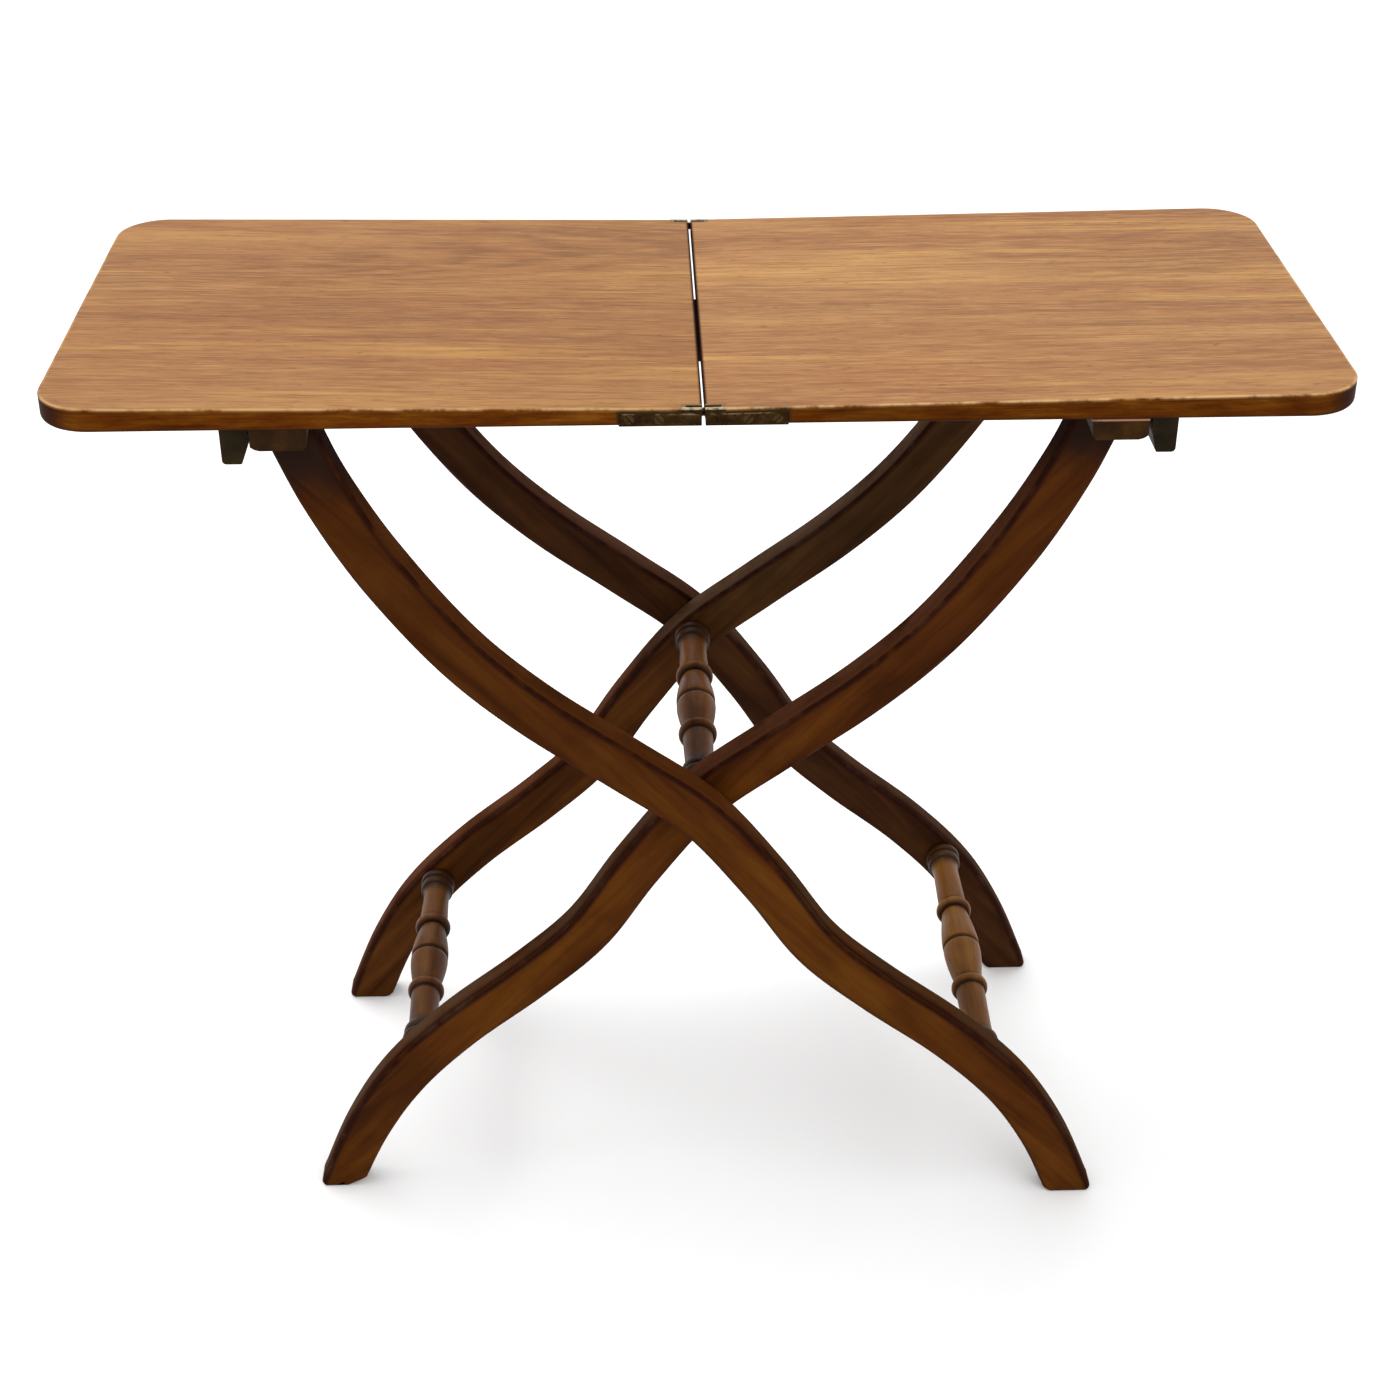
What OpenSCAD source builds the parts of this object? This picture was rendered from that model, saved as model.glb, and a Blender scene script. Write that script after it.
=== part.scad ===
/* [Top] */
// Overall width of the open top
top_w = 900; // [860:5:940]
// Depth of the top, front to back
top_d = 366; // [366:1:400]
// Thickness of the two boards at the seam
top_t = 12.4; // [12:0.2:13]
// Slope of each board's upper face in degrees: the middle of the top hangs a little, and the boards get thicker outwards
sag = 0.7; // [0.5:0.1:0.9]
// Radius of the four outer corners
corner_r = 38; // [20:1:60]
// Gap between the two boards at the seam
seam_gap = 2.2; // [2:0.1:3.2]

/* [Battens and lugs] */
// Depth of the tapered battens below the boards
batten_h = 27; // [25:0.5:28]
// Width of a batten where it meets its board
batten_w = 19; // [18:0.5:19.5]
// Depth of the pivot lugs below the boards
lug_h = 17.5; // [16:0.5:19]
// Distance from a lug's front face to the edge of the top
lug_inset = 6; // [5:0.5:8]

/* [Legs] */
// Width of a leg's curved blade
leg_w = 37.5; // [34:0.5:38]
// Thickness of a leg, front to back
leg_t = 24; // [22:1:25]
// Radius of the pins that carry the top
top_pin_r = 2.5; // [2:0.1:3]
// Radius of the pins at the crossing
cross_pin_r = 6; // [5:0.5:7]

/* [Stretchers] */
// Largest radius of the turned barrel
barrel_r = 16.2; // [14.2:0.5:17.2]
// Radius of the beads beside the barrel
bead_r = 15.5; // [14:0.5:17]
// Radius of the slim necks
neck_r = 11.4; // [10.4:0.5:12.9]
// Radius of the tenons in the legs
tenon_r = 8; // [6:0.5:9]

/* [Hinges] */
// Length of a hinge leaf along the edge
leaf_l = 56; // [54:1:64]
// Thickness of the leaf plate
leaf_t = 2.5; // [2.2:0.1:3]
// Height of the leaf plate
leaf_h = 8.6; // [7.8:0.2:9.4]
// Radius of the small hinge pins
hinge_pin_r = 0.9; // [0.7:0.1:0.9]

/* [Hidden] */
$fn = 48;
top_z = 734;                        // height of the top surface at the seam
under_z = top_z - top_t;            // height of the boards' level undersides
hw = top_w / 2;
hd = top_d / 2;
hg = seam_gap / 2;
outer_y = 140;                      // inner face of the outer pair of legs
inner_y = 114.5;                      // inner face of the inner pair of legs
cross_z = 388;                      // height of the crossing
q = [277, 711];                     // pivot of a board on its legs: distance from the middle, height
fold_z = top_z + 0.2;               // height of the line about which the boards fold, just over the seam
pin_x = 4.2;                        // hinge pins, from the middle, were the boards level
pin_z = fold_z - pin_x;             // hinge pins, height, the same
link_x = pin_x * (cos(sag) + sin(sag));            // where the pins really stand
link_z = fold_z - pin_x * (cos(sag) - sin(sag));
far_x = 2 * pin_x * sqrt(2);        // farthest that the right pin gets from the left one, half folded
fold_turn = 52.7;                   // how far a leg turns on its board when folded, with a little to spare
end_r = under_z - q[1] - 0.6;       // radius of a leg's top end about its pivot
cheek_y = hd - 8;                   // back of the hinge's rear cheek
slot_y = hd - leaf_t;               // front of the slot for the link
slot_w = 3.3;                       // width of that slot
link_t = 2.9;
str_x = 232;                        // lower stretchers, from the middle
str_z = 133;                        // lower stretchers, height
eps = 0.01;

// ---------- helpers ----------

// A drawing in x and z, given thickness t from y0 towards +Y
module xz(y0, t) { translate([0, y0 + t, 0]) rotate([90, 0, 0]) linear_extrude(t) children(); }
// The left things mirrored to the right
module side(s) { if (s > 0) mirror([1, 0, 0]) children(); else children(); }
// What is drawn level at the left, sloping with its board's upper face
module sloped() { translate([0, 0, fold_z]) rotate([0, sag, 0]) translate([0, 0, -fold_z]) children(); }
// The front things mirrored to the back
module end(e) { if (e > 0) mirror([0, 1, 0]) children(); else children(); }
// A cylinder along +Y from y0 to y1
module ycyl(x, z, r, y0, y1) { translate([x, y0, z]) rotate([-90, 0, 0]) cylinder(r = r, h = y1 - y0); }

// Smooth curve through points
function cr(a, b, c, d, t) = 0.5 * (2 * b + (c - a) * t + (2 * a - 5 * b + 4 * c - d) * t * t + (3 * b - a - 3 * c + d) * t * t * t);
function curve(p, n) = [for (i = [1 : len(p) - 3]) for (k = [0 : n - 1]) cr(p[i - 1], p[i], p[i + 1], p[i + 2], k / n)];
function unit(v) = v / norm(v);
function nrm(c, i) = let (d = unit(c[min(i + 1, len(c) - 1)] - c[max(i - 1, 0)])) [-d[1], d[0]];
function band(c, w) = concat(
    [for (i = [0 : len(c) - 1]) c[i] + nrm(c, i) * (w / 2 - slim(c[i][1]))],
    [for (i = [len(c) - 1 : -1 : 0]) c[i] - nrm(c, i) * (w / 2 - slim(c[i][1]))]);
// A leg gets a little slimmer towards its top
function slim(z) = 1.2 * max(0, min(1, (z - 600) / 80));

// Points of a rounded corner, from angle a0 to a1
function round_pts(x, z, r, a0, a1) = [for (k = [0 : 6]) [x + r * cos(a0 + (a1 - a0) * k / 6), z + r * sin(a0 + (a1 - a0) * k / 6)]];

// Countersunk wood screw with its head at the origin, pointing up +Z
module screw(l, r, slot = true) {
    difference() {
        union() {
            cylinder(r1 = 2 * r, r2 = r, h = 1.3 * r);
            translate([0, 0, 1.3 * r - eps]) cylinder(r = r, h = l - 1.3 * r);
        }
        if (slot) translate([-3 * r, -0.3 * r, -1]) cube([6 * r, 0.6 * r, 1 + 0.5 * r]);
    }
}

// ---------- the boards ----------

module board_blank() {
    translate([-hw, -hd, top_z - 24]) linear_extrude(24) union() {
        translate([corner_r, 0]) square([hw - corner_r - hg, top_d]);
        translate([0, corner_r]) square([corner_r + 1, top_d - 2 * corner_r]);
        translate([corner_r, corner_r]) circle(corner_r);
        translate([corner_r, top_d - corner_r]) circle(corner_r);
    }
}

// All below the undersides
module below() { translate([-600, -300, under_z - 60]) cube([700, 600, 60]); }

module leaf_shape() {
    // plate on the edge
    translate([-hg - leaf_l, -hd, under_z - 2]) cube([leaf_l, leaf_t, leaf_h + 2]);
    // raised end, the floor under the link and the rear cheek
    translate([-hg - 14, -hd, under_z - 2]) cube([14, 8, top_z - under_z + 2]);
}
module hinge_screws_at() for (x = [30, 50]) translate([-x, -hd, under_z + leaf_h / 2 - 0.2]) rotate([-90, 0, 0]) children();

module leaf(s, e) color("#6b5a32") side(s) end(e) difference() {
    sloped() leaf_shape();
    below();
    sloped() {
        // slot for the link
        translate([-12, -slot_y, top_z - 9.5]) cube([13, slot_w, 12]);
        ycyl(-pin_x, pin_z, hinge_pin_r, -hd + 0.8, -cheek_y + 1);
        hinge_screws_at() screw(16, 1.6, false);
    }
}

module board(s) color("#b9835a") side(s) difference() {
    sloped() board_blank();
    below();
    sloped() for (e = [-1, 1]) end(e) {
        leaf_shape();
        hinge_screws_at() screw(16, 1.6, false);
    }
    screws_below(s, false);
    lug_screws_at(s, false);
    if (s < 0) cleat_screws_at(false);
}

module top_left() board(-1);
module top_right() board(1);

// ---------- battens, lugs and the cleat under the seam ----------

// Battens and lugs at the right stand a little nearer the middle
function nearer(s) = s > 0 ? 2.8 : 0;

module batten(s) color("#2b211b") side(s) difference() {
    // upright outside, tapered inside, with its lower corners rounded; its inner face clears the leg's end as that turns
    d = nearer(s);
    x1 = -326 + batten_w + (s > 0 ? 1.2 : 0);
    xz(-hd + lug_inset, top_d - 2 * lug_inset) polygon(concat(
        [[d - 326, under_z], [x1, under_z], [x1, under_z - 12]],
        round_pts(d - 313.6, under_z - batten_h + 1.5, 1.5, -20, -90),
        round_pts(d - 323, under_z - batten_h + 3, 3, -90, -180)));
    screws_below(s, false);
}
module batten_left() batten(-1);
module batten_right() batten(1);

module screws_below(s, slot) {
    for (y = [-150, -50, 50, 150]) translate([nearer(s) - 318, y, under_z - batten_h]) screw(batten_h + 11, 1.8, slot);
}

// The lug beside the top of a leg: its inner face stands just off the leg
module lug(s, e) color("#33261d") side(s) end(e) difference() {
    y1 = s < 0 ? -outer_y - leg_t - 0.4 : -inner_y - leg_t - 0.4;
    translate([nearer(s), 0, 0]) xz(-hd + lug_inset, y1 + hd - lug_inset) polygon([
        [-306.3, under_z], [-266.5, under_z], [-268.3, under_z - lug_h + 3], [-270.5, under_z - lug_h],
        [-300, under_z - lug_h], [-303.5, under_z - lug_h + 1], [-306.3, under_z - lug_h + 3]]);
    ycyl(-q[0], q[1], top_pin_r, -hd + lug_inset + 5, y1 + 1);
    lug_screws_at(s, false);
}
module lug_left_front() lug(-1, -1);
module lug_left_back() lug(-1, 1);
module lug_right_front() lug(1, -1);
module lug_right_back() lug(1, 1);

module lug_screws_at(s, slot) {
    for (e = [-1, 1]) end(e) for (x = [nearer(s) - 297.5, s > 0 ? -271.7 : -273]) translate([x, -170.5, under_z - lug_h]) screw(lug_h + 10, 1.2, slot);
}

module seam_cleat() color("#3a1710") difference() {
    translate([-38, -45, under_z - 13]) cube([70, 90, 13]);
    translate([-hg - 1, -46, under_z - 0.5]) cube([40, 92, 1]);
    cleat_screws_at(false);
}
module cleat_screws_at(slot) {
    for (x = [-30, -12], y = [-32, 32]) translate([x, y, under_z - 13]) screw(22, 1.8, slot);
}

// ---------- legs ----------

// Middle line of a leg of the outer pair, from below the foot on the right to above the top on the left
leg_line = [[317, -40], [310, -20], [303, 0], [278, 60], [244.5, 115], [196.5, 165.5], [137, 215], [89.5, 261],
    [49.5, 321.5], [0.5, 384.5], [-57, 430], [-122.5, 479.5], [-176.5, 531.5], [-227, 600], [-260.5, 660], [-280, 708], [-296, 750], [-310, 790]];

// The same with its foot moved outwards by d: the outer pair is a little twisted, its front foot out and its back foot in
function foot_moved(d) = [for (p = leg_line) p + [d * max(0, min(1, (280 - p[1]) / 230)), 0]];

module leg_outline(d) polygon(band(curve(foot_moved(d), 6), leg_w));

// The room that the boards' undersides leave a leg's top end as it turns on its pivot
function about_q(r, a) = [-q[0] + r * cos(a), q[1] + r * sin(a)];
module turning_room() let (a0 = 90, a1 = a0 - fold_turn) polygon(concat(
    [[-500, -1], about_q(end_r, a0) + 220 * [-sin(a0), cos(a0)]],
    [for (k = [0 : 10]) about_q(end_r, a0 + (a1 - a0) * k / 10)],
    [about_q(end_r, a1) + 400 * [sin(a1), -cos(a1)], [500, -1]]));

// What that takes off the corner of the leg
module top_corner() difference() {
    translate([-320, 655]) square([110, 120]);
    turning_room();
}

module leg(y0, mid, foot = 0) difference() {
    xz(y0, leg_t) leg_outline(foot);
    xz(y0 - 1, leg_t + 2) top_corner();
    // flat foot
    translate([200, y0 - 2, -60]) cube([200, leg_t + 4, 60]);
    // bore for the pin that carries the top, blind from the outer face
    if (y0 < 0) ycyl(-q[0], q[1], top_pin_r + 0.06, y0 - 1, y0 + leg_t - 3);
    else ycyl(-q[0], q[1], top_pin_r + 0.06, y0 + 3, y0 + leg_t + 1);
    // socket for the lower stretcher's tenon, from the inner face
    if (y0 < 0) ycyl(str_x, str_z, tenon_r, y0 + leg_t - 16, y0 + leg_t + 1);
    else ycyl(str_x, str_z, tenon_r, y0 - 1, y0 + 16);
    // crossing
    if (mid == "blind") {
        if (y0 < 0) ycyl(0, cross_z, cross_pin_r + 0.1, y0 + leg_t - 14, y0 + leg_t + 1);
        else ycyl(0, cross_z, cross_pin_r + 0.1, y0 - 1, y0 + 14);
    } else ycyl(0, cross_z, cross_pin_r, y0 - 1, y0 + leg_t + 1);
}

module leg_outer_front() color("#5a2a12") leg(-outer_y - leg_t, "blind", 6.5);
module leg_outer_back() color("#5a2a12") leg(outer_y, "blind", -3.5);
// The front foot of the inner pair has its inner corner worn off
module leg_inner_front() color("#4c2414") mirror([1, 0, 0]) difference() {
    leg(-inner_y - leg_t, "through");
    xz(-inner_y - leg_t - 1, leg_t + 2) polygon([[300, -1], [297.5, 0], [287, 4.5], [280.5, 10], [268, 10], [268, -1]]);
}
module leg_inner_back() color("#4c2414") mirror([1, 0, 0]) leg(inner_y, "through");

// ---------- turned stretchers ----------

// Half of a turned profile, from the middle of the barrel to the end ring: [radius, distance].
// A groove in the middle, a barrel that thins away from it, a bead, the neck and two end rings
function arc_pts(c, r1, y0, y1, n) = [for (k = [0 : n]) [c + (r1 - c) * sin(180 * k / n), y0 + (y1 - y0) * (1 - cos(180 * k / n)) / 2]];
function half_profile(l) = let (b = 0.39 * l, e = b - 5.5, n = neck_r) concat(
    [[barrel_r - 2.4, 0], [barrel_r - 2.3, 1.2], [barrel_r - 1.2, 1.8], [barrel_r - 0.2, 2.6]],
    [for (k = [2 : 11]) [n - 0.2 + (barrel_r - n + 0.2) * cos(90 * k / 12), e * k / 12]],
    [[n - 0.2, e], [n - 0.1, b - 4.8]],
    arc_pts(n + 0.8, bead_r, b - 4.6, b + 4.6, 12),
    [[n + 0.6, b + 5], [n + 0.8, b + 8], [n + 0.5, (b + l - 22) / 2], [n, l - 26], [n + 0.3, l - 22], [n + 1.2, l - 19]],
    arc_pts(n + 1.8, bead_r - 0.9, l - 18, l - 9, 8),
    arc_pts(n + 2.2, bead_r - 0.2, l - 8.5, l - 0.6, 8),
    [[n + 2.4, l]]);

module turned(l, tenon) rotate([90, 0, 0]) {
    for (m = [0, 1]) mirror([0, 0, m]) rotate_extrude() polygon(concat([[0, 0]], half_profile(l), [[0, l]]));
    if (tenon) for (m = [0, 1]) mirror([0, 0, m]) translate([0, 0, l - eps]) cylinder(r = tenon_r, h = 16);
}

module stretcher_right() color("#7a4a26") translate([str_x, 0, str_z]) turned(outer_y, true);
module stretcher_left() color("#5f3a24") translate([-str_x, 0, str_z]) turned(inner_y, true);
module stretcher_centre() color("#57402f") difference() {
    translate([0, 0, cross_z]) turned(inner_y, false);
    for (e = [-1, 1]) end(e) ycyl(0, cross_z, cross_pin_r, -inner_y - 1, -inner_y + 20);
}

// ---------- pins ----------

// At the crossing: they end flush with the inner legs
module crossing_pins() color("#4a4038")
    for (e = [-1, 1]) end(e) ycyl(0, cross_z, cross_pin_r, -inner_y - leg_t, -inner_y + 20);

module pivot_pins(s) color("#4f4a42") side(s) for (e = [-1, 1]) end(e)
    ycyl(-q[0], q[1], top_pin_r, -hd + lug_inset + 5, (s < 0 ? -outer_y : -inner_y) - 4);
module pivot_pins_left() pivot_pins(-1);
module pivot_pins_right() pivot_pins(1);

// ---------- hinges ----------

module hinge_leaf_left_front() leaf(-1, -1);
module hinge_leaf_left_back() leaf(-1, 1);
module hinge_leaf_right_front() leaf(1, -1);
module hinge_leaf_right_back() leaf(1, 1);

// A round hole on the left pin, and a slot on the right one, which moves out and back as the boards fold
module hinge_link(e) color("#7b693c") end(e) difference() {
    xz(-slot_y + (slot_w - link_t) / 2, link_t) union() {
        translate([-link_x, link_z]) circle(3);
        translate([far_x - link_x, link_z]) circle(2);
        translate([-link_x, link_z - 2]) square([far_x, 4]);
        translate([-link_x, link_z - 2.6]) square([2 * pin_x - 1, 5.2]);
    }
    for (x = [0, 2 * pin_x, far_x]) ycyl(x - link_x, link_z, hinge_pin_r + 0.05, -slot_y - 1, -slot_y + slot_w + 1);
    translate([2 * pin_x - link_x, -slot_y - 1, link_z - hinge_pin_r - 0.05]) cube([far_x - 2 * pin_x, slot_w + 2, 2 * hinge_pin_r + 0.1]);
}
module hinge_link_front() hinge_link(-1);
module hinge_link_back() hinge_link(1);

module hinge_pins(s) color("#8a7848") side(s) sloped() for (e = [-1, 1]) end(e)
    ycyl(-pin_x, pin_z, hinge_pin_r, -hd + 0.8, -cheek_y);
module hinge_pins_left() hinge_pins(-1);
module hinge_pins_right() hinge_pins(1);

module hinge_screws(s) color("#57492a") side(s) sloped() for (e = [-1, 1]) end(e)
    hinge_screws_at() rotate([0, 0, 50]) screw(16, 1.6);
module hinge_screws_left() hinge_screws(-1);
module hinge_screws_right() hinge_screws(1);

// ---------- screws under the top ----------

module cleat_screws() color("#5c5347") cleat_screws_at(true);
module batten_screws_left() color("#5c5347") screws_below(-1, true);
module batten_screws_right() color("#5c5347") side(1) screws_below(1, true);
module lug_screws_left() color("#5c5347") lug_screws_at(-1, true);
module lug_screws_right() color("#5c5347") side(1) lug_screws_at(1, true);

top_left();
top_right();
batten_left();
batten_right();
lug_left_front();
lug_left_back();
lug_right_front();
lug_right_back();
leg_outer_front();
leg_outer_back();
leg_inner_front();
leg_inner_back();
stretcher_right();
stretcher_left();
stretcher_centre();
crossing_pins();
pivot_pins_left();
pivot_pins_right();
hinge_leaf_left_front();
hinge_leaf_left_back();
hinge_leaf_right_front();
hinge_leaf_right_back();
hinge_link_front();
hinge_link_back();
hinge_pins_left();
hinge_pins_right();
hinge_screws_left();
hinge_screws_right();
seam_cleat();
cleat_screws();
batten_screws_left();
batten_screws_right();
lug_screws_left();
lug_screws_right();
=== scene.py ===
import bpy, bmesh, math
import numpy as np
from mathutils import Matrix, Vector, noise


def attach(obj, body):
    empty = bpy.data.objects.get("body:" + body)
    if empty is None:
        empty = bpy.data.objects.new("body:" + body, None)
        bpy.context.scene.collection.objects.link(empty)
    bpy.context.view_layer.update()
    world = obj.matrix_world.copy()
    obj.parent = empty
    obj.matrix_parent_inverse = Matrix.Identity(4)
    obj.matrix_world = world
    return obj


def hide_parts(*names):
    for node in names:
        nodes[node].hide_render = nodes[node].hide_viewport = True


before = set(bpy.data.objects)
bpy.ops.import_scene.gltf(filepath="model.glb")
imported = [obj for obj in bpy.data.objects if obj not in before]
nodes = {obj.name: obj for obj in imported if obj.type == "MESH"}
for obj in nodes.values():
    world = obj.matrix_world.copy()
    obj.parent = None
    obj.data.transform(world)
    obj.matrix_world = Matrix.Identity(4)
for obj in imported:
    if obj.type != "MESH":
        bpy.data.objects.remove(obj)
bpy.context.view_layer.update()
MM = 0.001

# ------------------------------------------------------------------ camera
cam = bpy.data.cameras.new("camera")
cam.sensor_width = 36.0
cam.lens = 59.7
cam_ob = bpy.data.objects.new("camera", cam)
cam_ob.location = (-0.0471, -1.6094, 1.3817)
cam_ob.rotation_euler = (math.radians(58.44), 0.0, math.radians(-1.79))
bpy.context.scene.collection.objects.link(cam_ob)
bpy.context.scene.camera = cam_ob
bpy.context.scene.view_settings.view_transform = "Standard"
bpy.context.scene.view_settings.look = "None"


# ------------------------------------------------------------------ helpers
tone = [1.0, 1.0, 1.0]      # how deep a stain the next colours get


def stain(r, g, b):
    tone[:] = r, g, b


def lin(r, g, b):
    def f(v):
        v /= 255.0
        return v / 12.92 if v <= 0.04045 else ((v + 0.055) / 1.055) ** 2.4
    return (f(r) * tone[0], f(g) * tone[1], f(b) * tone[2], 1.0)


class Mat:
    """A small builder of node materials."""

    def __init__(self, name):
        self.m = bpy.data.materials.new(name)
        self.m.use_nodes = True
        self.t = self.m.node_tree
        self.t.nodes.clear()
        self.out = self.t.nodes.new("ShaderNodeOutputMaterial")
        self.b = self.t.nodes.new("ShaderNodeBsdfPrincipled")
        self.t.links.new(self.b.outputs[0], self.out.inputs[0])
        self.co = self.t.nodes.new("ShaderNodeTexCoord").outputs["Object"]
        self.sep = self.t.nodes.new("ShaderNodeSeparateXYZ")
        self.t.links.new(self.co, self.sep.inputs[0])
        self.x, self.y, self.z = self.sep.outputs

    def put(self, sock, v):
        if isinstance(v, bpy.types.NodeSocket):
            self.t.links.new(v, sock)
        else:
            sock.default_value = v

    def math(self, op, a, b=None, c=None, clamp=False):
        n = self.t.nodes.new("ShaderNodeMath")
        n.operation = op
        n.use_clamp = clamp
        for i, v in enumerate((a, b, c)):
            if v is not None:
                self.put(n.inputs[i], v)
        return n.outputs[0]

    def vec(self, x, y, z):
        n = self.t.nodes.new("ShaderNodeCombineXYZ")
        for i, v in enumerate((x, y, z)):
            self.put(n.inputs[i], v)
        return n.outputs[0]

    def map(self, scale=(1, 1, 1), loc=(0, 0, 0), rot=(0, 0, 0), src=None):
        n = self.t.nodes.new("ShaderNodeMapping")
        self.put(n.inputs[0], src or self.co)
        n.inputs["Location"].default_value = loc
        n.inputs["Rotation"].default_value = rot
        n.inputs["Scale"].default_value = scale
        return n.outputs[0]

    def noise(self, v, scale=1.0, detail=3.0, rough=0.5, dist=0.0):
        n = self.t.nodes.new("ShaderNodeTexNoise")
        self.put(n.inputs["Vector"], v)
        n.inputs["Scale"].default_value = scale
        n.inputs["Detail"].default_value = detail
        n.inputs["Roughness"].default_value = rough
        n.inputs["Distortion"].default_value = dist
        return n.outputs["Fac"]

    def ramp(self, f, stops, mode="LINEAR"):
        n = self.t.nodes.new("ShaderNodeValToRGB")
        self.put(n.inputs[0], f)
        r = n.color_ramp
        r.interpolation = mode
        while len(r.elements) < len(stops):
            r.elements.new(0.5)
        for e, (p, c) in zip(r.elements, stops):
            e.position = p
            e.color = c if len(c) == 4 else (*c, 1.0)
        return n.outputs["Color"]

    def step(self, f, a, b):
        """0 below a, 1 above b, smooth between (or the other way round if a > b)."""
        n = self.t.nodes.new("ShaderNodeMapRange")
        n.interpolation_type = "SMOOTHSTEP"
        self.put(n.inputs["Value"], f)
        lo, hi, t0, t1 = (a, b, 0.0, 1.0) if a < b else (b, a, 1.0, 0.0)
        n.inputs["From Min"].default_value = lo
        n.inputs["From Max"].default_value = hi
        n.inputs["To Min"].default_value = t0
        n.inputs["To Max"].default_value = t1
        return n.outputs[0]

    def mix(self, f, a, b, mode="MIX"):
        n = self.t.nodes.new("ShaderNodeMix")
        n.data_type = "RGBA"
        n.blend_type = mode
        n.clamp_factor = True
        self.put(n.inputs[0], f)
        self.put(n.inputs[6], a)
        self.put(n.inputs[7], b)
        return n.outputs[2]

    def attr(self, name):
        n = self.t.nodes.new("ShaderNodeAttribute")
        n.attribute_type = "GEOMETRY"
        n.attribute_name = name
        return n.outputs["Fac"]

    def bump(self, h, dist, strength=1.0, prev=None):
        n = self.t.nodes.new("ShaderNodeBump")
        n.inputs["Strength"].default_value = strength
        n.inputs["Distance"].default_value = dist
        self.put(n.inputs["Height"], h)
        if prev is not None:
            self.put(n.inputs["Normal"], prev)
        return n.outputs[0]

    def ao(self, dist, samples=6):
        n = self.t.nodes.new("ShaderNodeAmbientOcclusion")
        n.samples = samples
        n.only_local = True
        n.inputs["Distance"].default_value = dist
        return n.outputs["AO"]

    def set(self, **kw):
        for k, v in kw.items():
            self.put(self.b.inputs[k.replace("_", " ")], v)
        return self.m


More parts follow.
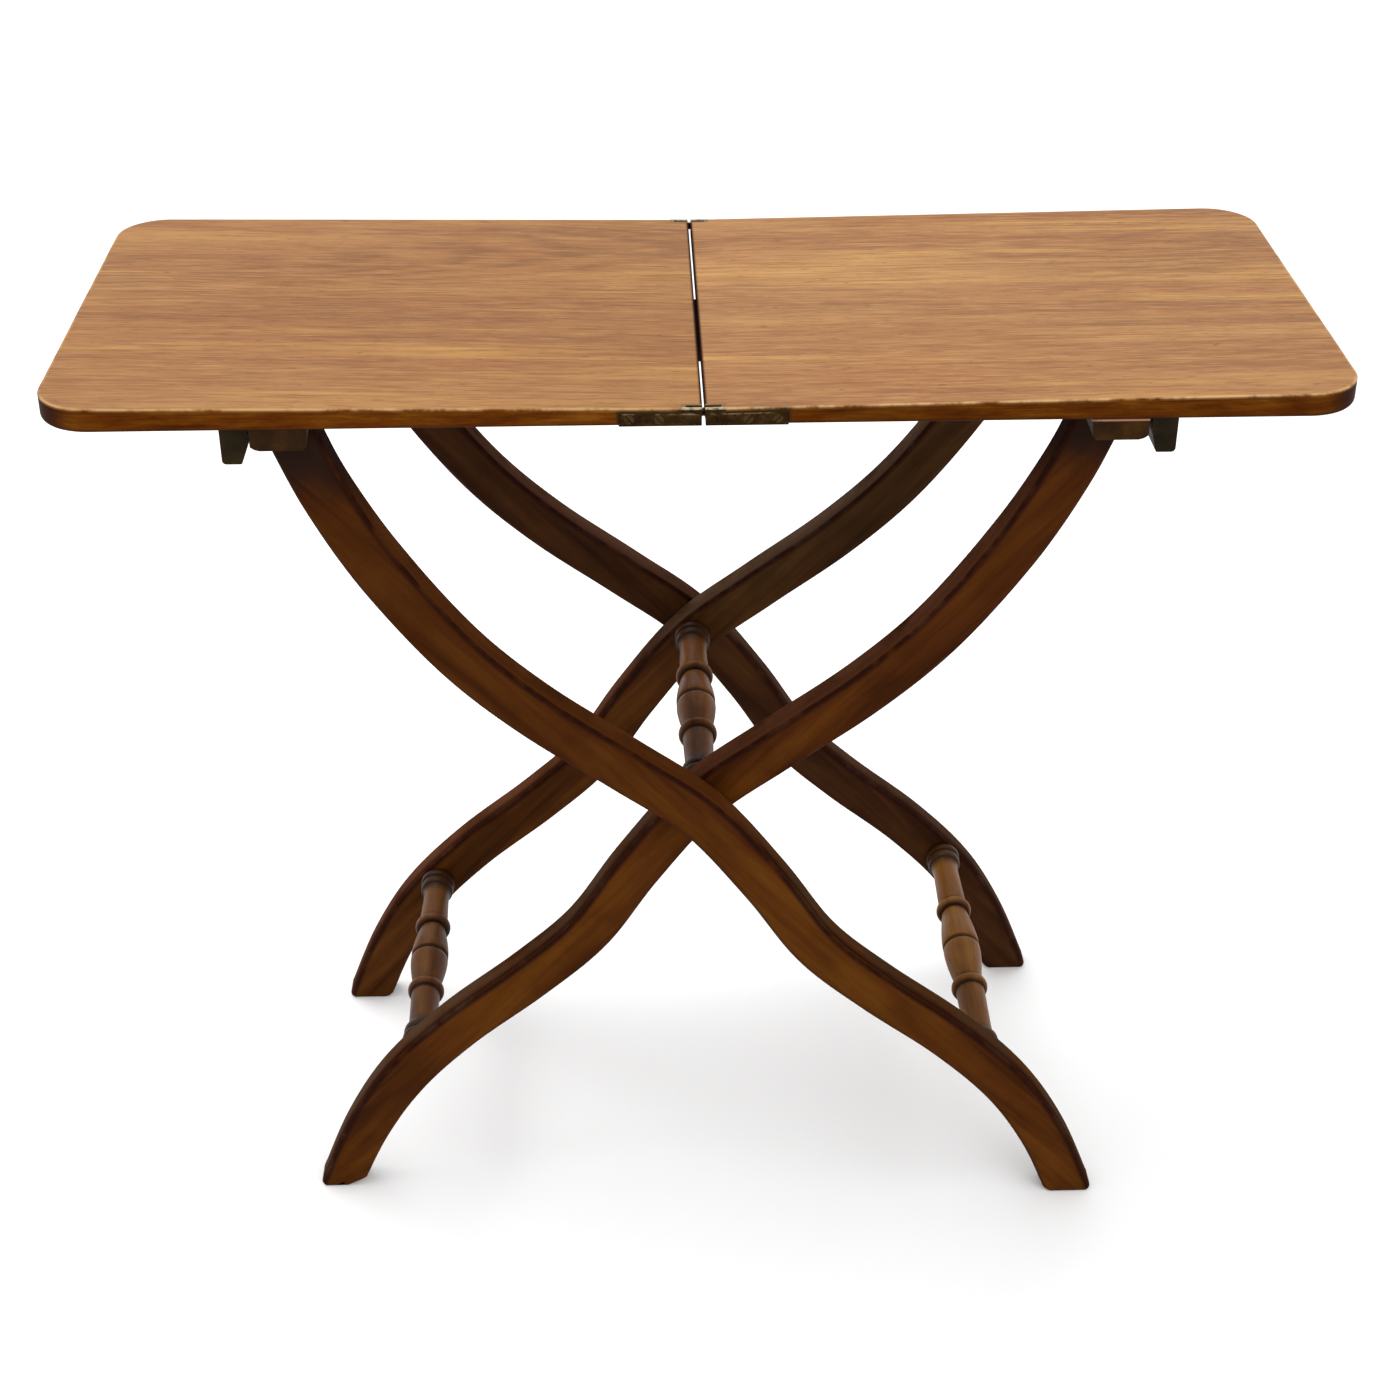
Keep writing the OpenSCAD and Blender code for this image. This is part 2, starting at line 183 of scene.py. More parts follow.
# ------------------------------------------------------------------ wood of the top
def top_wood(name, seed):
    """Boards with grain along X: growth rings cut nearly flat, fine fibres and pores, soft golden streaks."""
    m = Mat(name)
    left = seed < 5
    tilt = 0.035 if left else 0.02       # the grain runs out towards the back at a small angle
    g = m.map((1, 1, 1), (seed * 0.31, seed * 0.17, 0), (0, 0, tilt))
    warp = m.noise(m.map((2.4, 7, 9), src=g), 1.0, 2.0, 0.5)
    warp2 = m.noise(m.map((11, 30, 26), src=g), 1.0, 2.0, 0.6)
    # distance from a pith that runs under the board at a slant, so the rings run out as long arches
    yy = m.math("ADD", m.y, -0.105 if left else -0.12)
    yy = m.math("ADD", yy, m.math("MULTIPLY", m.math("SUBTRACT", warp, 0.5), 0.10))
    yy = m.math("ADD", yy, m.math("MULTIPLY", m.math("SUBTRACT", warp2, 0.5), 0.016))
    dep = m.math("ADD", m.math("MULTIPLY", m.x, 0.10 if left else -0.10), 0.052)
    r = m.math("SQRT", m.math("ADD", m.math("MULTIPLY", yy, yy), m.math("MULTIPLY", dep, dep)))
    ring = m.math("MULTIPLY_ADD", m.math("SINE", m.math("MULTIPLY", r, 760.0)), 0.5, 0.5)
    late = m.math("POWER", ring, 2.0)
    seen = m.step(m.noise(m.map((3.0, 9, 3), (seed, 4, 0)), 1.0, 2.0, 0.5), 0.40, 0.62)
    fib = m.noise(m.map((9, 360, 360), src=g), 1.0, 4.0, 0.65)
    fine = m.noise(m.map((30, 820, 820), src=g), 1.0, 3.0, 0.6)
    pore = m.noise(m.map((75, 1150, 900), src=g), 1.0, 2.0, 0.5)
    fleck = m.noise(m.map((95, 330, 300), src=g), 1.0, 1.0, 0.4)
    band = m.noise(m.map((1.5, 20, 20), src=g), 1.0, 3.0, 0.6)
    strk = m.noise(m.map((3.6, 105, 105), (0, 9, 0), src=g), 1.0, 3.0, 0.55)
    wide = m.noise(m.map((2.2, 34, 30), (3, 2, 0), src=g), 1.0, 2.0, 0.5)
    cloud = m.noise(m.map((5, 8, 5), (seed, 7, 2)), 1.0, 3.0, 0.6)
    c = m.ramp(band, [(0.28, lin(172, 118, 78)), (0.43, lin(193, 137, 93)), (0.56, lin(203, 150, 102)), (0.72, lin(222, 170, 112))])
    c = m.mix(m.math("MULTIPLY", m.step(cloud, 0.42, 0.72), 0.38), c, lin(186, 124, 92))
    gold = m.math("MULTIPLY", m.step(strk, 0.51, 0.69), m.step(wide, 0.47, 0.62))
    c = m.mix(m.math("MULTIPLY", m.step(wide, 0.46, 0.34), 0.48), c, lin(172, 118, 80))
    c = m.mix(m.math("MULTIPLY", m.step(wide, 0.54, 0.72), 0.45), c, lin(226, 176, 114))
    c = m.mix(m.math("MULTIPLY", gold, 0.70), c, lin(240, 190, 118))
    c = m.mix(m.math("MULTIPLY", m.step(strk, 0.46, 0.30), 0.50), c, lin(156, 106, 70))
    arch = m.math("MULTIPLY", m.math("MULTIPLY", late, seen), m.step(m.y, -0.10, 0.06))
    c = m.mix(m.math("MULTIPLY", arch, 0.60), c, lin(146, 96, 62))
    c = m.mix(m.math("MULTIPLY", m.step(fib, 0.48, 0.65), 0.56), c, lin(160, 108, 70))
    c = m.mix(m.math("MULTIPLY", m.step(fine, 0.50, 0.36), 0.50), c, lin(230, 184, 128))
    c = m.mix(m.math("MULTIPLY", m.step(fine, 0.53, 0.66), 0.42), c, lin(144, 94, 60))
    c = m.mix(m.math("MULTIPLY", m.step(pore, 0.60, 0.70), 0.55), c, lin(112, 70, 42))
    c = m.mix(m.math("MULTIPLY", m.step(fleck, 0.735, 0.80), 0.55), c, lin(120, 68, 42))
    # edges: the rim is a little lighter, a painted highlight, and the sides are darker
    side = m.attr("side")
    edge_n = m.noise(m.map((22, 22, 90), (seed, 0, 0)), 1.0, 4.0, 0.65)
    edge_f = m.noise(m.map((26, 26, 700), (seed, 0, 0)), 1.0, 3.0, 0.6)
    keep = tuple(tone)
    stain(*((1, 1, 1) if left else (0.86, 0.89, 0.8)))
    dark = m.ramp(m.math("ADD", m.math("MULTIPLY", edge_n, 0.65), m.math("MULTIPLY", edge_f, 0.35)),
                  [(0.36, lin(62, 24, 2)), (0.49, lin(84, 40, 3)), (0.58, lin(96, 52, 6)), (0.68, lin(116, 68, 16))])
    low = m.step(m.attr("up"), 5.0, 0.5)
    dark = m.mix(m.math("MULTIPLY", low, 0.60), dark, lin(44, 18, 3))
    tip = m.math("MULTIPLY", m.step(m.math("ABSOLUTE", m.x), 0.418, 0.440), m.math("MULTIPLY_ADD", edge_n, 0.5, 0.6, clamp=True))
    dark = m.mix(tip, dark, lin(36, 12, 6))
    # round the hinge plates the edge is as dark as the metal
    by = m.math("MULTIPLY", m.step(m.math("ABSOLUTE", m.x), 0.0600, 0.0570), m.step(m.math("ABSOLUTE", m.y), 0.168, 0.172))
    dark = m.mix(m.math("MULTIPLY", by, m.step(edge_n, 0.20, 0.50)), dark, lin(46, 31, 14))
    dark = m.mix(m.attr("seam"), dark, lin(40, 18, 8))
    stain(*keep)
    c = m.mix(side, c, dark)
    # painted highlight: a pale line along the rounded front arris of the top
    rim_highlight = m.attr("rim_highlight")
    rn = m.noise(m.map((26, 26, 26), (0, 0, seed)), 1.0, 4.0, 0.7)
    c = m.mix(m.math("MULTIPLY", rim_highlight, m.math("MULTIPLY", m.step(rn, 0.36, 0.56), 0.95)), c, lin(255, 214, 166))
    hgt = m.math("ADD", m.math("MULTIPLY", fib, 0.5), m.math("MULTIPLY", m.step(pore, 0.60, 0.74), -0.5))
    n1 = m.bump(hgt, 0.00016, 0.5)
    n2 = m.bump(m.noise(m.map((6, 14, 6), (seed, 0, 0)), 1.0, 2.0, 0.5), 0.004, 0.14, n1)
    rough = m.ramp(m.math("ADD", m.math("MULTIPLY", cloud, 0.6), m.math("MULTIPLY", fib, 0.4)),
                   [(0.3, (0.42,) * 3), (0.7, (0.56,) * 3)])
    gloss = m.ramp(side, [(0.0, (0.12,) * 3), (1.0, (0.015,) * 3)])
    return m.set(Base_Color=c, Roughness=rough, Normal=n2, Specular_IOR_Level=gloss)


# ------------------------------------------------------------------ dark wood of the legs
def leg_wood(name, seed, base, dark, light, wear_and_lit_edge, edge_high, line, above=(1, 1, 1)):
    """Stained wood sawn along the leg's chord, with rubbed arrises and a dark band beside the upper arris; painted
    light on the upward-facing side and painted shade on the lower side.
    """
    m = Mat(name)
    lin_end = (0.0125, 0.0055, 0.0035, 1.0)
    rot = math.radians(-47 if seed % 2 else 47)
    g = m.map((1, 1, 1), (seed * 0.13, 0, seed * 0.07), (0, rot, 0))
    long_ = m.noise(m.map((5, 60, 60), src=g), 1.0, 3.0, 0.6, 0.3)
    fib = m.noise(m.map((16, 700, 700), src=g), 1.0, 3.0, 0.6)
    mott = m.noise(m.map((14, 22, 14), (seed, 0, 0)), 1.0, 4.0, 0.62)
    c = m.ramp(long_, [(0.32, dark), (0.50, base), (0.70, light)])
    c = m.mix(m.math("MULTIPLY", m.step(mott, 0.42, 0.70), 0.45), c, dark)
    c = m.mix(m.math("MULTIPLY", m.step(fib, 0.55, 0.75), 0.40), c, dark)
    c = m.mix(m.step(m.math("ADD", m.z, m.math("MULTIPLY", m.math("SUBTRACT", mott, 0.5), 0.10)), 0.28, 0.48), c, m.mix(1.0, c, (*above, 1.0), "MULTIPLY"))
    end = m.math("MULTIPLY", m.step(m.math("ADD", m.z, m.math("MULTIPLY", m.math("SUBTRACT", mott, 0.5), 0.08)), 0.652, 0.694), 0.92)
    c = m.mix(end, c, lin_end)
    t = m.attr("across")       # mm across the blade, + on the upper side
    arris = m.attr("arris")
    face = m.attr("face")      # 1 on the front arris, 0 from 12 mm behind it
    upper = m.step(t, 17.4, 18.5)
    high = m.step(m.math("ADD", m.z, m.math("MULTIPLY", m.math("SUBTRACT", mott, 0.5), 0.06)), 0.350, 0.395)
    wear_and_lit_edge = m.mix(high, wear_and_lit_edge, edge_high)
    c = m.mix(m.math("MULTIPLY", upper, face), c, m.mix(m.math("MULTIPLY", high, 0.7), line, edge_high))
    # painted light: the upward-facing narrow side gets the paler edge colour, as if lit from above
    lit_top_face = m.math("MULTIPLY", upper, m.math("SUBTRACT", 1.0, m.math("MULTIPLY", face, 0.9)))
    wn = m.noise(m.map((22, 22, 22), (0, seed, 0)), 1.0, 4.0, 0.65)
    c = m.mix(m.math("MULTIPLY", lit_top_face, m.step(wn, 0.25, 0.62)), c, wear_and_lit_edge)
    # a dark band on the faces beside the upper arris
    upper_arris_band = m.math("MULTIPLY", m.step(t, 12.0, 16.0), m.step(t, 18.4, 17.2))
    c = m.mix(m.math("MULTIPLY", upper_arris_band, m.step(wn, 0.18, 0.5)), c, line)
    # painted shade: the lower side is darkened towards the line colour
    shaded_lower_side = m.math("MULTIPLY", m.step(t, -14.5, -18.0), 0.6)
    c = m.mix(shaded_lower_side, c, line)
    wear = m.math("MULTIPLY", arris, m.step(wn, 0.45, 0.66))
    c = m.mix(m.math("MULTIPLY", wear, 0.55), c, wear_and_lit_edge)
    hgt = m.math("ADD", m.math("MULTIPLY", fib, 0.6), m.math("MULTIPLY", mott, 0.8))
    n1 = m.bump(hgt, 0.0003, 0.5)
    n2 = m.bump(m.noise(m.map((30, 30, 30), (seed, 0, 0)), 1.0, 2.0, 0.5), 0.002, 0.22, n1)
    rough = m.ramp(mott, [(0.3, (0.50,) * 3), (0.7, (0.70,) * 3)])
    rough = m.mix(m.step(t, 16.0, 18.5), rough, (0.97, 0.97, 0.97, 1.0))
    return m.set(Base_Color=c, Roughness=rough, Normal=n2, Specular_IOR_Level=0.03)


# ------------------------------------------------------------------ turned wood
def turned_wood(name, seed, lo, mid, hi, dark, wear_and_highlight, l):
    m = Mat(name)
    g = m.map((1, 1, 1), (seed * 0.21, seed * 0.4, 0))
    long_ = m.noise(m.map((60, 7, 60), src=g), 1.0, 3.0, 0.6)
    fib = m.noise(m.map((500, 22, 500), src=g), 1.0, 3.0, 0.6)
    ringy = m.noise(m.map((6, 900, 6), src=g), 1.0, 2.0, 0.5)
    mott = m.noise(m.map((35, 25, 35), (seed, 0, 0)), 1.0, 4.0, 0.6)
    c = m.ramp(long_, [(0.30, lo), (0.50, mid), (0.70, hi)])
    c = m.mix(m.math("MULTIPLY", m.step(fib, 0.52, 0.74), 0.40), c, lo)
    c = m.mix(m.math("MULTIPLY", m.step(mott, 0.50, 0.75), 0.30), c, lo)
    wn = m.noise(m.map((45, 45, 45), (0, seed, 0)), 1.0, 3.0, 0.6)
    # painted highlight: the bead lips are paler
    c = m.mix(m.math("MULTIPLY", m.attr("lip_highlight"), m.math("MULTIPLY", m.step(wn, 0.30, 0.58), 0.28)), c, wear_and_highlight)
    c = m.mix(m.math("MULTIPLY", m.step(m.math("ABSOLUTE", m.y), (l - 30) * MM, (l - 18) * MM), 0.74), c, dark)
    groove = m.attr("groove")
    c = m.mix(m.math("MULTIPLY", groove, 0.92), c, dark)
    ao = m.ao(0.012)
    c = m.mix(m.step(ao, 0.85, 0.35), c, dark)
    n1 = m.bump(m.math("ADD", m.math("MULTIPLY", fib, 0.5), m.math("MULTIPLY", ringy, 0.5)), 0.00022, 0.5)
    rough = m.ramp(mott, [(0.3, (0.34,) * 3), (0.7, (0.52,) * 3)])
    return m.set(Base_Color=c, Roughness=rough, Normal=n1, Specular_IOR_Level=0.09)


def dark_wood(name, seed, a, b, c_, wear_and_highlight=None):
    m = Mat(name)
    long_ = m.noise(m.map((50, 7, 50), (seed, 0, 0)), 1.0, 3.0, 0.6)
    fib = m.noise(m.map((500, 18, 500), (seed, 0, 0)), 1.0, 3.0, 0.6)
    mott = m.noise(m.map((40, 30, 60), (seed, 0, 3)), 1.0, 4.0, 0.62)
    c = m.ramp(m.math("ADD", m.math("MULTIPLY", long_, 0.5), m.math("MULTIPLY", mott, 0.5)),
               [(0.34, a), (0.50, b), (0.66, c_)])
    c = m.mix(m.math("MULTIPLY", m.step(fib, 0.5, 0.75), 0.4), c, a)
    if wear_and_highlight is not None:
        # a pale line near the top of the front face: a worn arris with a painted highlight on it
        f = m.math("MULTIPLY", m.step(m.z, 0.7178, 0.7184), m.step(m.z, 0.7198, 0.7192))
        c = m.mix(m.math("MULTIPLY", f, m.step(mott, 0.30, 0.48)), c, wear_and_highlight)
        # painted shade: a dark strip above the pale line, just under the board
        c = m.mix(m.math("MULTIPLY", m.step(m.z, 0.7194, 0.7200), 0.8), c, a)
    n1 = m.bump(m.math("ADD", fib, mott), 0.0004, 0.5)
    rough = m.ramp(mott, [(0.3, (0.45,) * 3), (0.7, (0.66,) * 3)])
    return m.set(Base_Color=c, Roughness=rough, Normal=n1, Specular_IOR_Level=0.05)


def old_metal(name, seed, stops, spot, rough=(0.38, 0.62), metallic=0.75, rubbed_highlight=None):
    m = Mat(name)
    a = m.noise(m.map((60, 60, 110), (seed, 0, 0)), 1.0, 5.0, 0.65)
    b = m.noise(m.map((300, 300, 300), (0, seed, 0)), 1.0, 4.0, 0.6)
    s = m.noise(m.map((14, 200, 900), (0, 0, seed)), 1.0, 3.0, 0.6)
    c = m.ramp(a, stops)
    c = m.mix(m.math("MULTIPLY", m.step(b, 0.52, 0.70), 0.7), c, spot)
    if rubbed_highlight is not None:
        # rubbed bright, with a painted highlight: the upper face of the front cheek, and less so the plate's upper
        # arris
        lift = m.math("SUBTRACT", m.z, m.math("MULTIPLY", m.math("ABSOLUTE", m.x), 0.0122))
        front = m.step(m.math("ABSOLUTE", m.y), 0.1801, 0.1804)
        top = m.math("MULTIPLY", m.math("MULTIPLY", m.step(lift, 0.7328, 0.7336), front), m.step(b, 0.72, 0.42))
        c = m.mix(m.math("MULTIPLY", m.step(lift, 0.7328, 0.7336), m.step(m.math("ABSOLUTE", m.y), 0.1801, 0.1796)), c, (0.20, 0.105, 0.045, 1.0))
        c = m.mix(top, c, rubbed_highlight)
        ar = m.math("MULTIPLY", m.step(lift, 0.7290, 0.7299), m.step(lift, 0.7308, 0.7303))
        c = m.mix(m.math("MULTIPLY", ar, m.math("MULTIPLY", m.step(a, 0.48, 0.62), 0.35)), c, rubbed_highlight)
    n1 = m.bump(m.math("ADD", m.math("MULTIPLY", a, 1.0), m.math("MULTIPLY", s, 0.25)), 0.0007, 0.5)
    n2 = m.bump(b, 0.0002, 0.4, n1)
    r = m.ramp(a, [(0.3, (rough[0],) * 3), (0.7, (rough[1],) * 3)])
    return m.set(Base_Color=c, Roughness=r, Normal=n2, Metallic=metallic, Specular_IOR_Level=0.12)


# ------------------------------------------------------------------ meshes
def new_object(name, verts, faces, smooth_angle=38.0):
    me = bpy.data.meshes.new(name)
    me.from_pydata([tuple(v) for v in verts], [], faces)
    me.validate()
    me.update()
    me.shade_smooth()
    me.set_sharp_from_angle(angle=math.radians(smooth_angle))
    ob = bpy.data.objects.new(name, me)
    bpy.context.scene.collection.objects.link(ob)
    return ob


def put_attr(ob, name, values):
    a = ob.data.attributes.new(name, "FLOAT", "POINT")
    a.data.foreach_set("value", np.asarray(values, dtype=np.float32))


def cut(ob, cutters):
    """Takes the cutters off the object for good."""
    for c in cutters:
        md = ob.modifiers.new("cut", "BOOLEAN")
        md.operation = "DIFFERENCE"
        md.solver = "EXACT"
        md.object = c
    dg = bpy.context.evaluated_depsgraph_get()
    dg.update()
    me = bpy.data.meshes.new_from_object(ob.evaluated_get(dg))
    old = ob.data
    ob.modifiers.clear()
    ob.data = me
    me.name = old.name
    bpy.data.meshes.remove(old)
    for c in cutters:
        d = c.data
        bpy.data.objects.remove(c)
        bpy.data.meshes.remove(d)
    return ob


def prism(pts, y0, y1):
    """A cutter: an outline in x and z (mm), from y0 to y1."""
    n = len(pts)
    v = [(x * MM, y0 * MM, z * MM) for x, z in pts] + [(x * MM, y1 * MM, z * MM) for x, z in pts]
    f = [list(range(n)), list(range(2 * n - 1, n - 1, -1))]
    f += [[i, n + i, n + (i + 1) % n, (i + 1) % n] for i in range(n)]
    ob = new_object("cutter", v, f)
    bm = bmesh.new()
    bm.from_mesh(ob.data)
    bmesh.ops.recalc_face_normals(bm, faces=bm.faces)
    bm.to_mesh(ob.data)
    bm.free()
    return ob


def disc(x, z, r, y0, y1, n=48):
    return prism([(x + r * math.cos(2 * math.pi * k / n), z + r * math.sin(2 * math.pi * k / n)) for k in range(n)], y0, y1)


def box_cut(x0, x1, y0, y1, z0, z1):
    return prism([(x0, z0), (x1, z0), (x1, z1), (x0, z1)], y0, y1)


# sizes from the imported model, in mm
TZ, UZ, HW, HD, HG, CR = 734.0, 721.6, 450.0, 183.0, 0.75, 38.0
SAG = math.radians(0.7)        # slope of each board
FZ = TZ + 0.2                  # height of the line the boards fold about


def under(x):
    """Height of a board's level underside, in the drawing that slope() tilts."""
    return FZ + (UZ - FZ - abs(x) * math.sin(SAG)) / math.cos(SAG)


def slope(ob, s):
    """Tilts what was drawn level, as its board is."""
    me = ob.data
    co = np.empty(len(me.vertices) * 3)
    me.vertices.foreach_get("co", co)
    co = co.reshape(-1, 3)
    x, z = co[:, 0].copy(), co[:, 2] - FZ * MM
    co[:, 0] = x * math.cos(SAG) - s * z * math.sin(SAG)
    co[:, 2] = FZ * MM + s * x * math.sin(SAG) + z * math.cos(SAG)
    me.vertices.foreach_set("co", co.ravel())
    me.update()


def outline(s, d, wob=None):
    """The board's outline, d mm inside its edge; s is -1 for the left board. Points run the same way for every d."""
    pts = []
    for x in np.linspace(HG + d, HW - CR, 42):
        pts.append((x, -HD + d))
    for a in np.linspace(-90, 0, 15)[1:]:
        pts.append((HW - CR + (CR - d) * math.cos(math.radians(a)), -HD + CR + (CR - d) * math.sin(math.radians(a))))
    for y in np.linspace(-HD + CR, HD - CR, 30)[1:]:
        pts.append((HW - d, y))
    for a in np.linspace(0, 90, 15)[1:]:
        pts.append((HW - CR + (CR - d) * math.cos(math.radians(a)), HD - CR + (CR - d) * math.sin(math.radians(a))))
    for x in np.linspace(HW - CR, HG + d, 42)[1:]:
        pts.append((x, HD - d))
    for y in np.linspace(HD - d, -HD + d, 40)[1:-1]:
        pts.append((HG + d, y))
    return [(s * x, y) for x, y in pts]


def board(side, name, node, material):
    s = -1 if side == "left" else 1
    rings, zs, sidev, rimv = [], [], [], []
    rb, rt = 3.2, 1.3
    rings.append(6.0); zs.append(UZ); sidev.append(1.0); rimv.append(0.0)
    for k in range(6):
        a = math.radians(90 * k / 5)
        rings.append(rb * (1 - math.sin(a))); zs.append(UZ + rb * (1 - math.cos(a))); sidev.append(1.0); rimv.append(0.0)
    rings.append(0.0); zs.append(UZ + 5.0); sidev.append(1.0); rimv.append(0.0)
    rings.append(0.0); zs.append(TZ - 2.6); sidev.append(1.0); rimv.append(0.0)
    for k in range(6):
        a = math.radians(90 * k / 5)
        rings.append(rt * (1 - math.cos(a))); zs.append(TZ - rt * (1 - math.sin(a)))
        sidev.append([1.0, 0.9, 0.6, 0.3, 0.12, 0.05][k]); rimv.append([0.15, 0.55, 0.9, 1.0, 0.8, 0.45][k])
    rings.append(rt + 1.2); zs.append(TZ); sidev.append(0.0); rimv.append(0.0)
    rings.append(rt + 4.0); zs.append(TZ); sidev.append(0.0); rimv.append(0.0)
    verts, sa, ra = [], [], []
    n = None
    for d, z, sv, rv in zip(rings, zs, sidev, rimv):
        # old edges aren't quite true: the rounding grows and shrinks a little
        for i, (x, y) in enumerate(outline(s, d)):
            w = noise.noise(Vector((x * 0.021 + s * 3, y * 0.021, 0.0)))
            w2 = noise.noise(Vector((x * 0.13, y * 0.13, s * 2.0)))
            grow = 0.0
            if rv > 0.0:
                grow = (0.35 + 0.5 * w + 0.35 * w2) * rv * 0.35
            cx, cy = s * 225.0, 0.0
            ux, uy = cx - x, cy - y
            if abs(abs(y) - HD) < 8 and abs(x) < HW - CR:
                ux, uy = 0.0, -math.copysign(1.0, y)
            elif abs(x) > HW - 8 or abs(abs(x) - HG) < 8:
                ux, uy = math.copysign(1.0, cx - x), 0.0
            l = math.hypot(ux, uy)
            g = max(0.0, grow)
            zz = z + under(x) - UZ if z < UZ + 6.0 else z
            verts.append(((x + ux / l * g) * MM, (y + uy / l * g) * MM, zz * MM))
            sa.append(sv); ra.append(rv)
        n = len(outline(s, d))
    faces = []
    for k in range(len(rings) - 1):
        for i in range(n):
            a, b = k * n + i, k * n + (i + 1) % n
            c, e = (k + 1) * n + (i + 1) % n, (k + 1) * n + i
            faces.append([a, b, c, e] if s > 0 else [a, e, c, b])
    bot, top = list(range(n)), list(range((len(rings) - 1) * n, len(rings) * n))
    faces.append(bot[::-1] if s > 0 else bot)
    faces.append(top if s > 0 else top[::-1])
    ob = new_object(name, verts, faces, 50)
    # room for the hinge leaves at both ends of the seam
    cs = []
    for e in (-1, 1):
        def yy(a, b):
            return (min(e * a, e * b), max(e * a, e * b))
        y0, y1 = yy(HD - 2.5, HD + 3)
        x0, x1 = sorted((s * (HG - 2), s * (HG + 56)))
        cs.append(box_cut(x0, x1, y0, y1, UZ - 4, UZ + 8.6))
        y0, y1 = yy(HD - 8, HD + 3)
        x0, x1 = sorted((s * (HG - 2), s * (HG + 14)))
        cs.append(box_cut(x0, x1, y0, y1, UZ - 4, TZ + 3))
    cut(ob, cs)
    co = np.empty(len(ob.data.vertices) * 3)
    ob.data.vertices.foreach_get("co", co)
    co = co.reshape(-1, 3) / MM
    for k in ("side", "rim_highlight"):
        if k in ob.data.attributes:
            ob.data.attributes.remove(ob.data.attributes[k])
    z = co[:, 2]
    on_cap = (z > TZ - 0.02)
    # how far inside the outline a point of the cap is
    dx = np.abs(co[:, 0]); dy = np.abs(co[:, 1])
    cxx = np.maximum(dx - (HW - CR), 0); cyy = np.maximum(dy - (HD - CR), 0)
    ins = np.minimum(np.minimum(HW - dx, HD - dy), dx - HG)
    corner = (cxx > 0) & (cyy > 0)
    ins[corner] = np.minimum(ins[corner], CR - np.hypot(cxx[corner], cyy[corner]))
    sidea = np.clip((TZ - z) / rt * 1.4, 0, 1)
    # where the painted highlight along the rounded arris of the cap falls
    rim_highlight_amount = np.where(on_cap, np.clip((rt + 1.0 - ins) / 1.2, 0, 1) * 0.6, np.clip(1.15 - np.abs(TZ - 0.5 - z) / 0.9, 0, 1))
    sidea[on_cap] = 0
    # the two edges along the seam are darker, with no painted rim highlight
    near = dx - HG
    seam = np.clip(2.0 - near / 1.0, 0, 1)
    sidea = np.maximum(sidea, seam)
    rim_highlight_amount = rim_highlight_amount * (1 - np.clip(3.0 - near / 1.5, 0, 1))
    put_attr(ob, "seam", seam)
    put_attr(ob, "side", sidea)
    put_attr(ob, "rim_highlight", rim_highlight_amount)
    put_attr(ob, "up", z - np.array([under(q) for q in co[:, 0]]))
    slope(ob, s)
    ob.data.set_sharp_from_angle(angle=math.radians(40))
    ob.data.materials.clear()
    ob.data.materials.append(material)
    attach(ob, node[0])
    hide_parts(node[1])
    return ob


# ------------------------------------------------------------------ legs
LINE = [(317, -40), (310, -20), (303, 0), (278, 60), (244.5, 115), (196.5, 165.5), (137, 215), (89.5, 261), (49.5, 321.5), (0.5, 384.5),
        (-57, 430), (-122.5, 479.5), (-176.5, 531.5), (-227, 600), (-260.5, 660), (-280, 708), (-296, 750), (-310, 790)]
Q = (277.0, 711.0)


def catmull(p, n):
    p = np.array(p, float)
    out = []
    for i in range(1, len(p) - 2):
        a, b, c, d = p[i - 1], p[i], p[i + 1], p[i + 2]
        for k in range(n):
            t = k / n
            out.append(0.5 * (2 * b + (c - a) * t + (2 * a - 5 * b + 4 * c - d) * t * t + (3 * b - a - 3 * c + d) * t ** 3))
    return np.array(out)


